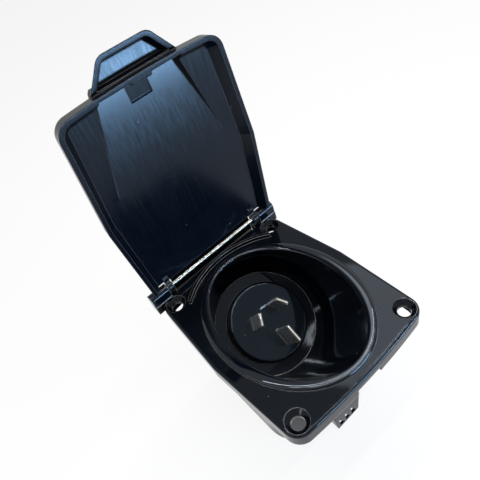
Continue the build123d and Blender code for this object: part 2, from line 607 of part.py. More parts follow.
# Rear cover with its cord snout, tie windows, clamp posts and saddle
SNOUT_REAR_Z = COVER_REAR_Z + SNOUT_REAR_GAP
SNOUT_IN_Y = COVER_BOTTOM_Y + COVER_WALL + SNOUT_DEPTH_IN
CLAMP_SPOTS = [(-CLAMP_X, CLAMP_Y), (CLAMP_X, CLAMP_Y)]
with BuildPart() as rear_cover:
    add(extrude(Plane.XY.offset(COVER_REAR_Z) * cover_face(0), amount=COVER_RIM_Z - COVER_REAR_Z,
                mode=Mode.PRIVATE))
    fillet(rear_cover.faces().sort_by(Axis.Z)[0].edges(), COVER_EDGE_R)
    with BuildSketch(Plane.XZ.offset(-COVER_BOTTOM_Y - COVER_WALL)):
        with BuildLine():
            Polyline((-SNOUT_FRONT_HALF_W, SNOUT_FRONT_Z), (SNOUT_FRONT_HALF_W, SNOUT_FRONT_Z),
                     (SNOUT_REAR_HALF_W, SNOUT_REAR_Z), (-SNOUT_REAR_HALF_W, SNOUT_REAR_Z),
                     close=True)
        make_face()
    extrude(amount=COVER_BOTTOM_Y + COVER_WALL - SNOUT_OUT_Y)
    add(extrude(Plane.XY.offset(COVER_FLOOR_Z) * cover_face(COVER_WALL),
                amount=COVER_RIM_Z - COVER_FLOOR_Z, mode=Mode.PRIVATE), mode=Mode.SUBTRACT)
    with BuildSketch(Plane.XZ.offset(-SNOUT_IN_Y)):
        with BuildLine():
            Polyline((SNOUT_WALL - SNOUT_FRONT_HALF_W, SNOUT_FRONT_Z - SNOUT_WALL),
                     (SNOUT_FRONT_HALF_W - SNOUT_WALL, SNOUT_FRONT_Z - SNOUT_WALL),
                     (SNOUT_REAR_HALF_W - SNOUT_WALL, COVER_REAR_Z - CUT),
                     (SNOUT_WALL - SNOUT_REAR_HALF_W, COVER_REAR_Z - CUT), close=True)
        make_face()
    extrude(amount=SNOUT_IN_Y - SNOUT_OUT_Y - SNOUT_WALL, mode=Mode.SUBTRACT)
    with BuildSketch(Plane.XZ.offset(-SNOUT_OUT_Y - SNOUT_WALL - CUT)):
        with Locations((0, SNOUT_REAR_Z + WINDOW_RIM)):
            with GridLocations(WINDOW_PITCH, 0, WINDOW_COUNT, 1):
                Polygon((-WINDOW_W / 2, 0), (WINDOW_W / 2, 0), (-WINDOW_W / 2, WINDOW_H), align=None)
    extrude(amount=SNOUT_WALL + 2 * CUT, mode=Mode.SUBTRACT)
    with BuildSketch(Plane.XY.offset(COVER_FLOOR_Z - COVER_WALL / 2)):
        with Locations(*CLAMP_SPOTS):
            Circle(CLAMP_POST_R)
    extrude(amount=CLAMP_POST_H + COVER_WALL / 2)
    with Locations((0, CLAMP_Y, COVER_FLOOR_Z - COVER_WALL / 2)):
        Box(CLAMP_SADDLE_W, CLAMP_BAR_W, CLAMP_SADDLE_H + COVER_WALL / 2,
            align=(Align.CENTER, Align.CENTER, Align.MIN))
    with BuildSketch(Plane.XY.offset(CLAMP_SEAT_Z)):
        with Locations(*CLAMP_SPOTS):
            Circle(CLAMP_SCREW_R)
    extrude(amount=-CLAMP_SCREW_BITE, mode=Mode.SUBTRACT)
    for seat in COVER_SCREW_SEATS:
        with Locations(seat):
            Cylinder(COVER_SCREW_R, 2 * COVER_WALL, mode=Mode.SUBTRACT)
save(rear_cover.part, "rear_cover")

# Four screws through the cover's side walls into the collar
cover_screws = [screw(seat, COVER_SCREW_R, COVER_SCREW_L, HEAD_R, HEAD_H)
                for seat in COVER_SCREW_SEATS]
save(group(cover_screws), "cover_screws")

# Cord clamp bar on its two posts
with BuildPart() as cord_clamp:
    with BuildSketch(Plane.XY.offset(CLAMP_SEAT_Z)):
        with Locations((0, CLAMP_Y)):
            SlotCenterToCenter(2 * CLAMP_X, CLAMP_BAR_W)
        with Locations(*CLAMP_SPOTS):
            Circle(CLAMP_SCREW_R, mode=Mode.SUBTRACT)
    extrude(amount=CLAMP_BAR_T)
save(cord_clamp.part, "cord_clamp")

clamp_screws = []
for x, y in CLAMP_SPOTS:
    seat = Plane(origin=(x, y, CLAMP_SEAT_Z + CLAMP_BAR_T))
    bite = CLAMP_BAR_T + CLAMP_SCREW_BITE - CLAMP_SCREW_TIP_CLEAR
    clamp_screws.append(screw(seat, CLAMP_SCREW_R, bite, HEAD_R, HEAD_H))
save(group(clamp_screws), "clamp_screws")
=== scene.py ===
"""Studio scene of a flush power inlet with a hinged lid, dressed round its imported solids."""

import logging
import math
from dataclasses import dataclass
from enum import Enum
from typing import List, Optional, Protocol, Sequence, Tuple, Union

import bpy
import numpy as np
from mathutils import Matrix, Vector


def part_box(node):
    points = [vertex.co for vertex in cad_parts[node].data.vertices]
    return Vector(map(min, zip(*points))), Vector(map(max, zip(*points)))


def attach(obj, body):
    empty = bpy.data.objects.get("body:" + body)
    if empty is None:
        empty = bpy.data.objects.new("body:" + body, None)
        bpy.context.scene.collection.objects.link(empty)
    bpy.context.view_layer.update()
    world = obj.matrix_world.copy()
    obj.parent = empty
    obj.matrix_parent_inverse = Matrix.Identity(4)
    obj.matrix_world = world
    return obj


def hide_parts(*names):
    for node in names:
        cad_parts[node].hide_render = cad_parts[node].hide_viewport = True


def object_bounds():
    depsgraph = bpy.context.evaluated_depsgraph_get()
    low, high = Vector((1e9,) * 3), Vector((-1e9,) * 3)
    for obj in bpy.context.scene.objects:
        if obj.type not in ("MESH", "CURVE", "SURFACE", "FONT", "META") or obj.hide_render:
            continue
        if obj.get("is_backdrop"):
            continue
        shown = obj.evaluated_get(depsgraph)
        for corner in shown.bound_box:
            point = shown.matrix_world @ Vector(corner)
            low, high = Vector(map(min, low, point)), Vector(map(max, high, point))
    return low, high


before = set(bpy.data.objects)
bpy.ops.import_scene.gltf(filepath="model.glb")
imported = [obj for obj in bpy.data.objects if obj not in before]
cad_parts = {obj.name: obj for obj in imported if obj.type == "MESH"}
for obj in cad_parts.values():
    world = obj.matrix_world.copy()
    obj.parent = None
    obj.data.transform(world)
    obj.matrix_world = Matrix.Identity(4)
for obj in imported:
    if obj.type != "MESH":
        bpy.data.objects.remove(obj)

LOG = logging.getLogger("inlet_scene")
MM = 0.001
TURN = 2.0 * math.pi
QUARTER_TURN = math.pi / 2.0

Colour = Tuple[float, float, float]
Point = Tuple[float, float, float]
Range = Tuple[float, float]
Socket = bpy.types.NodeSocket

RISING: Range = (0.0, 1.0)
FALLING: Range = (1.0, 0.0)

# Colour sockets of the Mix node, which shares its socket names among its data types.
MIX_UNDER = 6
MIX_OVER = 7
MIX_RESULT = 2

# Rays that feel out an edge, and the cosines at which its edge share starts and is full.
EDGE_SAMPLES = 6
EDGE_SHARE_BAND: Range = (0.995, 0.8)


class Slot(Enum):
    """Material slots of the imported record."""

    SHELL = "shell_black"
    SCREW = "screw_steel"


class Body(Enum):
    """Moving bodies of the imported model."""

    BASE = "base"
    LID = "lid"


class Grain(Enum):
    """Direction in which a worked surface carries its fine lines, as stretches of the pattern."""

    ALONG_X = (0.04, 1.0, 1.0)
    ALONG_Z = (1.0, 1.0, 0.05)
    EVEN = (1.0, 1.0, 1.0)


class Assembly(Protocol):
    """Sub-assembly that main can build."""

    def build(self) -> None:
        """Makes and dresses the pieces of the sub-assembly."""


def opaque(colour: Colour) -> Tuple[float, float, float, float]:
    """Colour with full cover, as a node's socket takes it."""
    return (*colour, 1.0)


def even_angles(count: int) -> np.ndarray:
    """Angles at even steps round a full turn, without the last, which is the first again."""
    return np.linspace(0.0, TURN, count, endpoint=False)


class NodeSheet:
    """A material's node tree with short calls for the nodes that the finishes share."""

    def __init__(self, name: str) -> None:
        """Opens an empty tree with a surface shader and its output.

        Args:
            name: Name of the material.
        """
        self.material = bpy.data.materials.new(name)
        self.material.use_nodes = True
        self.tree = self.material.node_tree
        self.tree.nodes.clear()
        self.output = self.tree.nodes.new("ShaderNodeOutputMaterial")
        self.shader = self.tree.nodes.new("ShaderNodeBsdfPrincipled")
        self.link(self.shader.outputs[0], self.output.inputs["Surface"])
        self.place = self.tree.nodes.new("ShaderNodeTexCoord").outputs["Object"]

    def link(self, source: Socket, target: Socket) -> None:
        """Joins one socket to another."""
        self.tree.links.new(source, target)

    def feed(self, socket: str, source: Socket) -> None:
        """Joins a source to one of the surface shader's sockets."""
        self.link(source, self.shader.inputs[socket])

    def set(self, socket: str, value: object) -> None:
        """Sets a value on the surface shader's own socket."""
        self.shader.inputs[socket].default_value = value

    def noise(self, scale: float, detail: float, grain: Grain = Grain.EVEN) -> Socket:
        """Value of a noise pattern on the object's coordinates.

        Args:
            scale: Cells per metre.
            detail: Number of finer layers.
            grain: Direction in which the pattern is drawn out.

        Returns:
            The noise value, about 0 to 1.
        """
        drawn = self.tree.nodes.new("ShaderNodeMapping")
        drawn.inputs["Scale"].default_value = grain.value
        self.link(self.place, drawn.inputs["Vector"])
        node = self.tree.nodes.new("ShaderNodeTexNoise")
        node.inputs["Scale"].default_value = scale
        node.inputs["Detail"].default_value = detail
        self.link(drawn.outputs[0], node.inputs["Vector"])
        return node.outputs[0]

    def spread(self, value: Socket, band: Range, out: Range = RISING) -> Socket:
        """Carries a value from one range to another, held at both ends.

        Args:
            value: Socket to carry.
            band: Inputs that give the first and the second output.
            out: The two outputs.

        Returns:
            The carried value.
        """
        node = self.tree.nodes.new("ShaderNodeMapRange")
        self.link(value, node.inputs["Value"])
        node.inputs["From Min"].default_value, node.inputs["From Max"].default_value = band
        node.inputs["To Min"].default_value, node.inputs["To Max"].default_value = out
        return node.outputs[0]

    def combine(self, operation: str, first: Socket, second: Union[Socket, float] = 0.0) -> Socket:
        """Works out one value from two.

        Args:
            operation: Name of the operation.
            first: First value's socket.
            second: Second value, a socket or a number.

        Returns:
            The result.
        """
        node = self.tree.nodes.new("ShaderNodeMath")
        node.operation = operation
        self.link(first, node.inputs[0])
        if isinstance(second, float):
            node.inputs[1].default_value = second
        else:
            self.link(second, node.inputs[1])
        return node.outputs[0]

    def mix(self, share: Socket, under: Union[Socket, Colour], over: Colour) -> Socket:
        """Lays a colour over another colour or over a pattern.

        Args:
            share: How much of the upper colour shows.
            under: The lower colour, or the socket of a pattern's colour.
            over: The upper colour.

        Returns:
            The blended colour.
        """
        node = self.tree.nodes.new("ShaderNodeMix")
        node.data_type = "RGBA"
        self.link(share, node.inputs["Factor"])
        if isinstance(under, tuple):
            node.inputs[MIX_UNDER].default_value = opaque(under)
        else:
            self.link(under, node.inputs[MIX_UNDER])
        node.inputs[MIX_OVER].default_value = opaque(over)
        return node.outputs[MIX_RESULT]

    def rounded(self, radius: float) -> Socket:
        """Normal of the surface with its edges rounded off.

        Args:
            radius: Radius of the rounding in metres.

        Returns:
            The rounded normal.
        """
        node = self.tree.nodes.new("ShaderNodeBevel")
        node.samples = EDGE_SAMPLES
        node.inputs["Radius"].default_value = radius
        return node.outputs[0]

    def edge_share(self, normal: Socket) -> Socket:
        """How far a rounded normal leaves the true one.

        Args:
            normal: Rounded normal.

        Returns:
            0 on flats rising to 1 on edges.
        """
        plain = self.tree.nodes.new("ShaderNodeNewGeometry")
        dot = self.tree.nodes.new("ShaderNodeVectorMath")
        dot.operation = "DOT_PRODUCT"
        self.link(normal, dot.inputs[0])
        self.link(plain.outputs["Normal"], dot.inputs[1])
        return self.spread(dot.outputs["Value"], EDGE_SHARE_BAND)

    def bump(self, height: Socket, depth: float, normal: Socket,
             strength: float = 1.0, sunk: bool = False) -> Socket:
        """Lifts or sinks the surface by a height pattern.

        Args:
            height: Height pattern.
            depth: Height of the pattern in metres.
            normal: Normal that the pattern starts from.
            strength: How strongly it shows.
            sunk: Whether the pattern goes into the surface.

        Returns:
            The changed normal.
        """
        node = self.tree.nodes.new("ShaderNodeBump")
        node.invert = sunk
        node.inputs["Strength"].default_value = strength
        node.inputs["Distance"].default_value = depth
        self.link(height, node.inputs["Height"])
        self.link(normal, node.inputs["Normal"])
        return node.outputs[0]

    def axes(self) -> Tuple[Socket, Socket, Socket]:
        """The three object coordinates.

        Returns:
            One socket for each of x, y and z.
        """
        node = self.tree.nodes.new("ShaderNodeSeparateXYZ")
        self.link(self.place, node.inputs[0])
        return node.outputs["X"], node.outputs["Y"], node.outputs["Z"]


@dataclass(frozen=True)
class Fold:
    """Rounded fold across a moulded face, where a sloping floor leaves a flat one.

    The fold sinks by depth times the square of the share of its reach that is left, so that the
    slope changes evenly from one face to the other. It fades out at both sides of the slope, and
    stays on the face in front of a limit in y.
    """

    fold_z: float
    reach: float
    depth: float
    half_width: float
    fade: float
    limit_y: float

    def lay(self, sheet: NodeSheet, normal: Socket) -> Socket:
        """Bends the normal across the fold.

        Args:
            sheet: Node sheet of the material.
            normal: Normal that the fold starts from.

        Returns:
            The bent normal.
        """
        x, y, z = sheet.axes()
        away = sheet.combine("ABSOLUTE", sheet.combine("SUBTRACT", z, self.fold_z))
        left = sheet.spread(away, (0.0, self.reach), FALLING)
        sides = (self.half_width - self.fade, self.half_width + self.fade)
        inside = sheet.spread(sheet.combine("ABSOLUTE", x), sides, FALLING)
        front = sheet.combine("LESS_THAN", y, self.limit_y)
        height = sheet.combine("MULTIPLY", sheet.combine("MULTIPLY", left, left), inside)
        return sheet.bump(sheet.combine("MULTIPLY", height, front), self.depth, normal, sunk=True)


@dataclass(frozen=True)
class MouldedGloss:
    """Gloss black moulding: deep colour, soft orange peel, faint rub marks, lightened edges and dust.

    A cloud pattern varies the colour and how far the edges are lightened. The lightened edges are partly
    scuffing and partly a painted highlight in the base colour, standing in for the lamps' glints on
    the rims. Rub marks run along the grain and vary the roughness, and scuffed edges and dust specks
    are duller.
    """

    name: str
    base: Colour = (0.0010, 0.0018, 0.0036)
    bloom: Colour = (0.0022, 0.0034, 0.0062)
    dust: Colour = (0.10, 0.10, 0.10)
    # Pale colour of the edges: partly scuffing, partly a painted highlight for the lamps' glints.
    edge_scuff_and_highlight_tone: Colour = (0.110, 0.106, 0.104)
    tint: Colour = (0.78, 0.88, 1.0)
    rough: Range = (0.03, 0.07)
    gloss: float = 0.24
    ior: float = 1.46
    grain: Grain = Grain.EVEN
    fold: Optional[Fold] = None
    edge_radius: float = 0.5 * MM
    roll_radius: float = 0.8 * MM
    cloud_scale: float = 55.0
    cloud_detail: float = 4.0
    cloud_band: Range = (0.3, 0.7)
    patch_band: Range = (0.35, 0.65)
    patch_share: Range = (0.35, 1.0)
    rub_scale: float = 900.0
    rub_detail: float = 5.0
    rub_band: Range = (0.25, 0.75)
    speck_scale: float = 520.0
    speck_band: Range = (0.76, 0.80)
    edge_dulling: float = 0.02
    dust_dulling: float = 0.25
    peel_scale: float = 700.0
    peel_depth: float = 0.06 * MM
    peel_strength: float = 0.06
    fine_detail: float = 2.0

    def build(self) -> bpy.types.Material:
        """Makes the material.

        Returns:
            The finished material.
        """
        sheet = NodeSheet(self.name)
        edge_scuff_and_highlight_share = sheet.edge_share(sheet.rounded(self.edge_radius))
        cloud = sheet.noise(self.cloud_scale, self.cloud_detail)
        rub = sheet.noise(self.rub_scale, self.rub_detail, self.grain)
        specks = sheet.spread(sheet.noise(self.speck_scale, self.fine_detail), self.speck_band)
        peel = sheet.noise(self.peel_scale, self.fine_detail)
        patches = sheet.spread(cloud, self.patch_band, self.patch_share)
        tone = sheet.mix(sheet.spread(cloud, self.cloud_band), self.base, self.bloom)
        # Paints the edges paler: partly scuffing, partly a painted highlight where the lamps would glint.
        tone = sheet.mix(sheet.combine("MULTIPLY", edge_scuff_and_highlight_share, patches), tone, self.edge_scuff_and_highlight_tone)
        sheet.feed("Base Color", sheet.mix(specks, tone, self.dust))
        shine = sheet.spread(rub, self.rub_band, self.rough)
        shine = sheet.combine("ADD", shine, sheet.combine("MULTIPLY", edge_scuff_and_highlight_share, self.edge_dulling))
        shine = sheet.combine("ADD", shine, sheet.combine("MULTIPLY", specks, self.dust_dulling))
        sheet.feed("Roughness", shine)
        sheet.set("IOR", self.ior)
        sheet.set("Specular IOR Level", self.gloss)
        sheet.set("Specular Tint", opaque(self.tint))
        normal = sheet.rounded(self.roll_radius)
        if self.fold:
            normal = self.fold.lay(sheet, normal)
        sheet.feed("Normal", sheet.bump(peel, self.peel_depth, normal, self.peel_strength))
        return sheet.material


@dataclass(frozen=True)
class WorkedMetal:
    """Bare or plated metal with fine drawn lines and a thin tarnish that edges have lost."""

    name: str
    bright: Colour
    dull: Colour
    rough: Range
    grain: Grain = Grain.ALONG_X
    metal: float = 1.0
    edge_radius: float = 0.15 * MM
    edge_polish: float = 0.7
    line_scale: float = 2600.0
    line_detail: float = 4.0
    line_band: Range = (0.3, 0.7)
    line_depth: float = 0.03 * MM
    line_strength: float = 0.12
    tarnish_scale: float = 180.0
    tarnish_detail: float = 5.0
    tarnish_band: Range = (0.42, 0.72)

    def build(self) -> bpy.types.Material:
        """Makes the material.

        Returns:
            The finished material.
        """
        sheet = NodeSheet(self.name)
        normal = sheet.rounded(self.edge_radius)
        polished = sheet.combine("MULTIPLY", sheet.edge_share(normal), self.edge_polish)
        lines = sheet.noise(self.line_scale, self.line_detail, self.grain)
        tarnish = sheet.noise(self.tarnish_scale, self.tarnish_detail)
        kept = sheet.combine("SUBTRACT", sheet.spread(tarnish, self.tarnish_band), polished)
        sheet.feed("Base Color", sheet.mix(kept, self.bright, self.dull))
        sheet.set("Metallic", self.metal)
        sheet.feed("Roughness", sheet.spread(lines, self.line_band, self.rough))
        sheet.feed("Normal", sheet.bump(lines, self.line_depth, normal, self.line_strength))
        return sheet.material


@dataclass(frozen=True)
class SoftRubber:
    """Matt rubber with a fine powdery grain that gathers on the edges."""

    name: str
    base: Colour = (0.016, 0.016, 0.017)
    bloom: Colour = (0.040, 0.040, 0.042)
    bloom_band: Range = (0.4, 0.8)
    bloom_share: Range = (0.0, 0.7)
    edge_bloom: float = 0.3
    edge_radius: float = 0.2 * MM
    rough: Range = (0.62, 0.82)
    rough_band: Range = (0.3, 0.7)
    grain_scale: float = 1800.0
    grain_detail: float = 4.0
    grain_depth: float = 0.04 * MM
    grain_strength: float = 0.3

    def build(self) -> bpy.types.Material:
        """Makes the material.

        Returns:
            The finished material.
        """
        sheet = NodeSheet(self.name)
        normal = sheet.rounded(self.edge_radius)
        gathered = sheet.combine("MULTIPLY", sheet.edge_share(normal), self.edge_bloom)
        grain = sheet.noise(self.grain_scale, self.grain_detail)
        share = sheet.combine("ADD", sheet.spread(grain, self.bloom_band, self.bloom_share), gathered)
        sheet.feed("Base Color", sheet.mix(share, self.base, self.bloom))
        sheet.feed("Roughness", sheet.spread(grain, self.rough_band, self.rough))
        sheet.feed("Normal", sheet.bump(grain, self.grain_depth, normal, self.grain_strength))
        return sheet.material


def dress(nodes: Sequence[str], material: bpy.types.Material) -> None:
    """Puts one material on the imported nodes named.

    Args:
        nodes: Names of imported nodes.
        material: Material to put on them.
    """
    for name in nodes:
        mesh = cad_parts[name].data
        mesh.materials.clear()
        mesh.materials.append(material)
        LOG.info("dressed %s in %s", name, material.name)


@dataclass
class Shell:
    """Housing, lid, rear cover, pin carrier and cord clamp: the black mouldings."""

    # The housing's and the carrier's edges are painted paler still, as painted highlights for the lamps'
    # glints.
    housing: MouldedGloss = MouldedGloss("gloss_housing", gloss=0.25, edge_scuff_and_highlight_tone=(0.36, 0.34, 0.31))
    recess_fold: Fold = Fold(
        fold_z=66.8 * MM,
        reach=14.0 * MM,
        depth=0.27 * MM,
        half_width=27.4 * MM,
        fade=4.0 * MM,
        limit_y=49.2 * MM,
    )
    lid: MouldedGloss = MouldedGloss(
        "gloss_lid", rough=(0.17, 0.28), grain=Grain.ALONG_Z, rub_scale=1600.0, fold=recess_fold)
    cover: MouldedGloss = MouldedGloss("gloss_cover", rough=(0.16, 0.28))
    carrier: MouldedGloss = MouldedGloss(
        "gloss_carrier", rough=(0.03, 0.08), gloss=0.34, tint=(0.60, 0.80, 1.0),
        edge_scuff_and_highlight_tone=(0.55, 0.51, 0.46))

    def build(self) -> None:
        """Dresses the black mouldings."""
        dress(["housing"], self.housing.build())
        dress(["lid"], self.lid.build())
        dress(["rear_cover"], self.cover.build())
        dress(["pin_carrier", "cord_clamp"], self.carrier.build())


@dataclass
class Metalwork:
    """Hinge pin, flat pins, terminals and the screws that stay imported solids."""

    steel: WorkedMetal = WorkedMetal(
        "drawn_steel", bright=(0.26, 0.225, 0.19), dull=(0.17, 0.15, 0.13), rough=(0.08, 0.18))
    plate: WorkedMetal = WorkedMetal(
        "plated_pins", bright=(0.86, 0.85, 0.82), dull=(0.58, 0.56, 0.52), rough=(0.06, 0.14),
        grain=Grain.ALONG_Z, metal=0.82)
    brass: WorkedMetal = WorkedMetal(
        "terminal_brass", bright=(0.78, 0.58, 0.27), dull=(0.48, 0.34, 0.15), rough=(0.24, 0.40))
    screws: WorkedMetal = WorkedMetal(
        "screw_steel", bright=(0.58, 0.58, 0.57), dull=(0.34, 0.34, 0.34), rough=(0.22, 0.38))

    def build(self) -> None:
        """Dresses the metal nodes."""
        dress(["hinge_pin"], self.steel.build())
        dress(["pin_active", "pin_neutral", "pin_earth"], self.plate.build())
        dress(["terminal_active", "terminal_neutral", "terminal_earth"], self.brass.build())
        dress(["terminal_screws", "carrier_screws", "clamp_screws"], self.screws.build())


def ring_skin(radius: np.ndarray, height: np.ndarray) -> Tuple[np.ndarray, List[List[int]]]:
    """Closed skin over rings round one axis.

    Each row holds the radii and heights of one ring at even angles, from the tip of the axis
    downwards. A ring's point at angle a lies at radius times the cosine and sine of a. The first and
    last rings close in a point on the axis.

    Args:
        radius: Radii, one row for each ring.
        height: Heights along the axis, one row for each ring.

    Returns:
        The points and the faces, facing outwards.
    """
    rows, sides = radius.shape
    angle = even_angles(sides)
    points = np.stack([radius * np.cos(angle), radius * np.sin(angle), height], axis=-1).reshape(-1, 3)
    ends = np.array([(0.0, 0.0, height[0].mean()), (0.0, 0.0, height[-1].mean())])
    index = np.arange(rows * sides).reshape(rows, sides)
    turned = np.roll(index, -1, axis=1)
    quads = np.stack([index[:-1], index[1:], turned[1:], turned[:-1]], axis=-1).reshape(-1, 4)
    top = np.full(sides, rows * sides)
    top_fan = np.stack([top, index[0], turned[0]], axis=-1)
    low_fan = np.stack([top + 1, turned[-1], index[-1]], axis=-1)
    return np.concatenate([points, ends]), quads.tolist() + top_fan.tolist() + low_fan.tolist()


def add_piece(name: str, points: np.ndarray, faces: List[List[int]], finish: bpy.types.Material,
              body: Body) -> bpy.types.Object:
    """Makes a smooth piece that rides on a body.

    Args:
        name: Name of the piece.
        points: Its points in metres.
        faces: Its faces, facing outwards.
        finish: Its material.
        body: Body that it moves with.

    Returns:
        The piece.
    """
    mesh = bpy.data.meshes.new(name)
    mesh.from_pydata(points.tolist(), [], faces)
    mesh.polygons.foreach_set("use_smooth", np.ones(len(faces), dtype=bool))
    mesh.materials.append(finish)
    piece = bpy.data.objects.new(name, mesh)
    bpy.context.scene.collection.objects.link(piece)
    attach(piece, body.value)
    LOG.info("piece %s with %d faces", name, len(faces))
    return piece


def rounded_box(angle: np.ndarray, half_a: Union[float, np.ndarray], half_b: float,
                power: float) -> np.ndarray:
    """Radius of a box section with rounded corners.

    The section is the curve on which the shares of the two half sizes, each raised to the power,
    add up to one.

    Args:
        angle: Angles round the section.
        half_a: Half size along the first axis, one for all sections or one for each.
        half_b: Half size along the second axis.
        power: Squareness: 2 is an ellipse, and more is closer to a box.

    Returns:
        The radius at each angle.
    """
    shares = np.abs(np.cos(angle) / half_a) ** power + np.abs(np.sin(angle) / half_b) ** power
    return shares ** (-1.0 / power)


@dataclass
class MouthBead:
    """Rolled bead on the lip of the bowl's mouth, wider at the sides than at the ends."""

    finish: MouldedGloss = MouldedGloss(
        "gloss_bead", rough=(0.015, 0.04), gloss=0.55, roll_radius=0.3 * MM)
    mouth_rx: float = 29.3 * MM
    mouth_ry: float = 39.3 * MM
    mouth_y: float = -1.3 * MM
    lip_top: float = 8.1 * MM
    side_width: float = 4.6 * MM
    end_width: float = 2.4 * MM
    middle: float = 0.45
    overhang: float = 0.5 * MM
    sink: float = 0.9 * MM
    half_height: float = 1.3 * MM
    power: float = 2.6
    stations: int = 288
    sides: int = 40

    def build(self) -> None:
        """Carries a rounded section round the mouth's ellipse.

        The section's centre lies outside the mouth's edge by a share of the lip's width there, and
        its half width reaches past that edge by the overhang.
        """
        along = even_angles(self.stations)[:, None]
        angle = even_angles(self.sides)[None, :]
        normal = np.stack([self.mouth_ry * np.cos(along), self.mouth_rx * np.sin(along)], axis=-1)
        normal /= np.linalg.norm(normal, axis=-1, keepdims=True)
        width = self.side_width * np.cos(along) ** 2 + self.end_width * np.sin(along) ** 2
        centre = self.middle * width
        radius = rounded_box(angle, centre + self.overhang, self.half_height, self.power)
        out = centre + radius * np.cos(angle)
        x = self.mouth_rx * np.cos(along) + normal[..., 0] * out
        y = self.mouth_y + self.mouth_ry * np.sin(along) + normal[..., 1] * out
        z = self.lip_top - self.sink + radius * np.sin(angle)
        points = np.stack([x, y, z], axis=-1).reshape(-1, 3)
        index = np.arange(x.size).reshape(x.shape)
        ahead = np.roll(index, -1, axis=0)
        corners = [index, ahead, np.roll(ahead, -1, axis=1), np.roll(index, -1, axis=1)]
        faces = np.stack(corners, axis=-1).reshape(-1, 4).tolist()
        add_piece("mouth_bead", points, faces, self.finish.build(), Body.BASE)


@dataclass
class CurtainHem:
    """Rounded hem along the lower edge of the lid's curtain, behind the hinge pin."""

    finish: MouldedGloss = MouldedGloss("gloss_hem", rough=(0.14, 0.24), roll_radius=0.3 * MM)
    half_length: float = 25.35 * MM
    centre: Point = (0.0, 49.2 * MM, 4.0 * MM)
    half_thick: float = 0.55 * MM
    half_height: float = 1.4 * MM
    power: float = 6.0
    sides: int = 48
    end_rings: int = 6
    end_radius: float = 0.4 * MM

    def build(self) -> None:
        """Carries a rounded box section along the hem, drawn in at both ends by a quarter turn."""
        section = rounded_box(even_angles(self.sides), self.half_thick, self.half_height, self.power)
        bend = np.linspace(0.0, QUARTER_TURN, self.end_rings)
        inset = self.end_radius * (1.0 - np.sin(bend))
        reach = self.half_length - self.end_radius * (1.0 - np.cos(bend))
        radius = section[None, :] - np.concatenate([inset, inset[::-1]])[:, None]
        height = np.concatenate([reach[::-1], -reach])[:, None] * np.ones_like(section)
        skin, faces = ring_skin(radius, height)
        # The skin's x, y and z lie along the frame's y, z and x.
        axes = np.array([(0.0, 1.0, 0.0), (0.0, 0.0, 1.0), (1.0, 0.0, 0.0)])
        points = skin @ axes + np.array(self.centre)
        add_piece("curtain_hem", points, faces, self.finish.build(), Body.LID)


